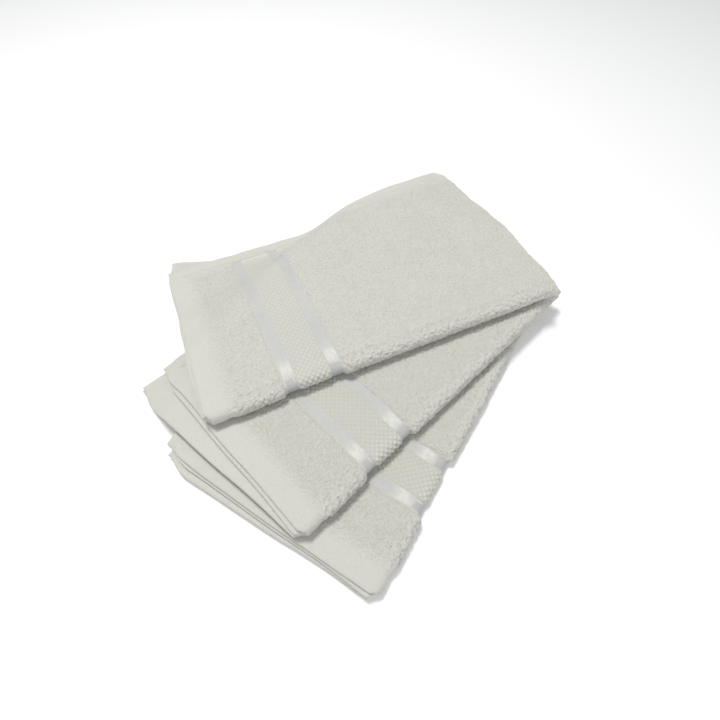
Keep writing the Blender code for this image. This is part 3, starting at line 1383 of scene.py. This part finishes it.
@dataclass
class FoldRoll:
    """The fold roll of the towel that opens: two skins, one for each ply."""

    towel: FoldedTowel
    reach: float
    bodies: tuple[str, str]
    fine: float
    pieces: list[bpy.types.Object] = field(default_factory=list)

    def ply_panel(self, ply: Ply) -> Panel:
        """A panel of the roll's girth that holds one ply."""
        label = "outer_roll_" if ply is Ply.OUTER else "inner_roll_"
        return Panel(self.towel, label, -self.reach, self.reach, self.fine, self.bodies)

    def build(self) -> None:
        """Builds the roll's skins ply by ply, and bakes each piece's placement into its mesh."""
        c = self.towel.cloth
        for ply in Ply:
            panel = self.ply_panel(ply)
            outer = ply is Ply.OUTER
            start = c.end_hem if outer else c.middle
            end = c.middle if outer else self.towel.inner_end - c.end_hem
            p = stations(start, end, 0.004)
            g = panel.girths(-self.reach, self.reach, 0.003)
            patch = Patch(self.towel, panel.title("ground_weave"), p, g, Weave.PILE)
            faces = panel.ground_face(0.0008), panel.ground_face(-0.0013)
            ground = panel.add(patch.slab(*faces, GROUND))
            self.skins(panel, ply)
            self.bend(panel, ply)
            arc = math.pi * (c.pitch + ply.value * c.bend_radius)
            width = 2 * (self.reach - c.roll_arc) + arc
            flat = (round(width, 4), round(self.towel.inner_end / 2, 4))
            self.pieces += panel.pieces
            log.info("%s: %d pieces", panel.title("panel"), len(panel.pieces))

    def skins(self, panel: Panel, ply: Ply) -> None:
        """The pile, border and hem of one ply of the roll.

        Args:
            panel: The ply's panel, which keeps the pieces.
            ply: The ply.
        """
        c = self.towel.cloth
        outer = ply is Ply.OUTER
        step = self.fine if outer else 0.0025
        last = self.towel.inner_end
        bands = [*c.border, ("terry_field", c.field_start, 0.0, Weave.PILE)]
        for name, start, end, weave in bands:
            if name == "terry_field":
                span = (start, c.middle) if outer else (c.middle, c.path - start)
            elif name == "end_hem" and not outer:
                span = (c.path - end, last)
            else:
                span = panel.band_span(ply, start, end)
            sizes = {Weave.WAFFLE: panel.waffle_step, Weave.SATIN: panel.satin_steps[0]}
            size = sizes.get(weave, step) if outer else step
            g = panel.girths(-self.reach, self.reach, size)
            if weave is Weave.HEM:
                p = edged(*span, 0.0018, c.hem / 2)
                patch = Patch(self.towel, panel.title(name), p, g, weave)
                panel.add(patch.slab(*panel.end_hem_faces(outer), HEM))
                continue
            ends = [panel.beside(x) if weave is Weave.PILE else Edge.BAND for x in span]
            edges = (*ends, Edge.JOINED, Edge.JOINED)
            p = stations(*span, size)
            if weave is Weave.PILE:
                p = panel.overlapped(p, edges)
            panel.skin(Patch(self.towel, panel.title(name), p, g, weave, edges), span)

    def bend(self, panel: Panel, ply: Ply) -> None:
        """Bakes the placement of the pieces of one ply into their meshes.

        Args:
            panel: The ply's panel.
            ply: The ply; not used.
        """
        c = self.towel.cloth
        xy = self.towel.plan(np.array([0.17]), np.array([c.roll_centre]))[0]
        axis = float(self.towel.ground(np.array([0.17]), np.array([0.0]))[0]) + c.roll_centre
        for piece in panel.pieces:
            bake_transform(piece)


# --------------------------------------------------------------------------- studio


@dataclass(frozen=True)
class SoftLight:
    """A square soft light: where it hangs, its side, its power in watts and its tint."""

    place: tuple[float, float, float]
    size: float
    power: float
    colour: tuple[float, float, float] = (1.0, 0.995, 0.985)


@dataclass(frozen=True)
class Studio:
    """The floor, the lights and the camera."""

    elevation: float = math.radians(58.1)
    roll: float = math.radians(0.35)
    distance: float = 0.4067
    lens: float = 22.02
    target: tuple[float, float, float] = (-0.0050, -0.0328, 0.020)
    shift: tuple[float, float] = (0.0136, 0.0078)
    floor_size: float = 6.0
    surround: float = 0.44
    lights: dict[str, SoftLight] = field(
        default_factory=lambda: {
            "key": SoftLight((-0.31, 0.33, 1.55), 0.36, 16.9, (1.0, 0.99, 0.965)),
            "front_left": SoftLight((-0.45, -0.65, 0.55), 0.5, 0.45),
            "front_right": SoftLight((0.60, -0.70, 0.50), 0.6, 1.45),
        }
    )

    def build_floor(self) -> bpy.types.Object:
        """A plain white floor, wider than any view.

        Returns:
            The floor.
        """
        bm = bmesh.new()
        bmesh.ops.create_grid(bm, x_segments=8, y_segments=8, size=self.floor_size / 2)
        mesh = bpy.data.meshes.new("floor")
        bm.to_mesh(mesh)
        bm.free()
        material = bpy.data.materials.new("white_floor")
        material.use_nodes = True
        shader = material.node_tree.nodes["Principled BSDF"]
        shader.inputs["Base Color"].default_value = (0.97, 0.97, 0.97, 1)
        shader.inputs["Roughness"].default_value = 0.9
        shader.inputs["Specular IOR Level"].default_value = 0.1
        shader.inputs["Emission Color"].default_value = (1, 1, 1, 1)
        shader.inputs["Emission Strength"].default_value = 0.04
        mesh.materials.append(material)
        floor = bpy.data.objects.new("floor", mesh)
        bpy.context.scene.collection.objects.link(floor)
        return floor

    def build_light(self, name: str, soft: SoftLight) -> None:
        """A square soft light that points at the towels.

        Args:
            name: Name of the light.
            soft: The light's place, size, power and colour.
        """
        light = bpy.data.lights.new(name, "AREA")
        light.size = soft.size
        light.energy = soft.power
        light.color = soft.colour
        lamp = bpy.data.objects.new(name, light)
        lamp.location = soft.place
        aim = Vector(self.target) - Vector(soft.place)
        lamp.rotation_mode = "QUATERNION"
        lamp.rotation_quaternion = aim.to_track_quat("-Z", "Y")
        bpy.context.scene.collection.objects.link(lamp)

    def build_world(self, strength: float) -> None:
        """An even pale surround.

        Args:
            strength: How strongly it shines.
        """
        world = bpy.data.worlds.new("surround")
        world.use_nodes = True
        back = world.node_tree.nodes["Background"]
        back.inputs["Color"].default_value = (0.95, 0.97, 1.0, 1)
        back.inputs["Strength"].default_value = strength
        bpy.context.scene.world = world

    def build_camera(self) -> None:
        """The camera, looking down at the towels from their hemmed ends."""
        e, r = self.elevation, self.roll
        forward = Vector((0, math.cos(e), -math.sin(e)))
        right = Vector((1, 0, 0))
        up = right.cross(forward)
        x = math.cos(r) * right + math.sin(r) * up
        y = -math.sin(r) * right + math.cos(r) * up
        data = bpy.data.cameras.new("camera")
        data.sensor_width = 36.0
        data.lens = self.lens
        data.shift_x, data.shift_y = self.shift
        data.clip_start = 0.01
        camera = bpy.data.objects.new("camera", data)
        turn = Matrix((x, y, -forward)).transposed().to_4x4()
        place = Vector(self.target) - self.distance * forward
        camera.matrix_world = Matrix.Translation(place) @ turn
        bpy.context.scene.collection.objects.link(camera)
        bpy.context.scene.camera = camera

    def build(self) -> None:
        """Builds the whole studio."""
        bpy.context.scene.view_settings.view_transform = "Standard"
        self.build_floor()
        for name, soft in self.lights.items():
            self.build_light(name, soft)
        self.build_world(self.surround)
        self.build_camera()
        log.info("studio")


# --------------------------------------------------------------------------- the set


@dataclass
class TowelSet:
    """The three towels, from the bottom one to the top one."""

    top_heading: float = math.radians(24.3)
    turn_to_middle: float = math.radians(19.6)
    turn_to_bottom: float = math.radians(13.7)
    model_reach: float = 0.007

    def cad_shift(self, bottom: FoldedTowel) -> tuple[float, float]:
        """How far the model's own centring moved the towels from the fan's pivot.

        Args:
            bottom: The bottom towel, not yet moved.

        Returns:
            The move in x and y.
        """
        low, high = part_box("bottom_towel_upper_side_hem")
        c = bottom.cloth
        far = c.length - (c.pile - c.hem) / 2
        ends = bottom.plan(np.array([-self.model_reach, far]), np.array([c.width, c.width]))
        return float(low.x - ends[0, 0]), float(high.y - ends[1, 1])

    def towels(self) -> tuple[FoldedTowel, FoldedTowel, FoldedTowel]:
        """The three towels, placed as the model has them.

        Returns:
            The bottom, the middle and the top towel.
        """
        middle_heading = self.top_heading + self.turn_to_middle
        bottom = FoldedTowel(
            "bottom_towel", middle_heading + self.turn_to_bottom, (0.0104, 0.0078),
            reach=0.003, skew=0.007, salt=300, flare=(0.008, 0.004), widen=0.0015, fluff=1.75,
        )
        bottom.shift = self.cad_shift(bottom)
        middle = FoldedTowel(
            "middle_towel", middle_heading, (0.0058, -0.0055),
            reach=0.003, skew=0.027, salt=200, below=(bottom,), shift=bottom.shift,
            flare=(0.004, 0.005), widen=0.002, fluff=1.75,
        )
        top = FoldedTowel(
            "top_towel", self.top_heading, (-0.0108, -0.0094),
            reach=0.002, skew=0.0, salt=100, below=(bottom, middle), shift=bottom.shift,
            flare=(0.0, 0.022), rounding=(0.002, 0.007), blunt=0.0, widen=0.0020,
            waist=0.0035, fluff=1.1,
            far_edge=(
                (0.0, 0.0025), (0.12, 0.0060), (0.24, 0.0045), (0.42, 0.0060),
                (0.58, 0.0020), (0.74, -0.0045), (0.86, -0.0062), (0.94, -0.0092), (1.0, -0.0180),
            ),
        )
        return bottom, middle, top

    def hide_solids(self, prefix: str) -> None:
        """The panel's ground weave stands for the model's solids.

        Args:
            prefix: How the names of those solids begin.
        """
        names = [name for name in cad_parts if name.startswith(prefix)]
        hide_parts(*names)

    def build(self) -> None:
        """Builds the towels and hides the solids that they stand for."""
        bottom, middle, top = self.towels()
        edge = CLOTH.girth
        for towel, fine in ((bottom, 0.0011), (middle, 0.0010)):
            panel = Panel(towel, "", -edge, edge, fine, (towel.name,))
            panel.build()
            self.hide_solids(towel.name)
        cut = CLOTH.roll_arc + CLOTH.hinge_margin
        lower = Panel(top, "lower_", -edge, -cut, 0.003, ("top_towel",))
        upper = Panel(top, "upper_", cut, edge, 0.00080, ("top_towel_upper_leaf",))
        for panel in (lower, upper):
            panel.build()
            self.hide_solids(f"top_towel_{panel.label}")
        roll = FoldRoll(top, cut, ("top_towel", "top_towel_upper_leaf"), 0.00062)
        roll.build()
        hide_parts("top_towel_fold_roll")


def main() -> None:
    """Builds the towels, then the studio."""
    logging.basicConfig(level=logging.INFO, format="%(name)s: %(message)s")
    TowelSet().build()
    Studio().build()


if __name__ == "__main__":
    main()
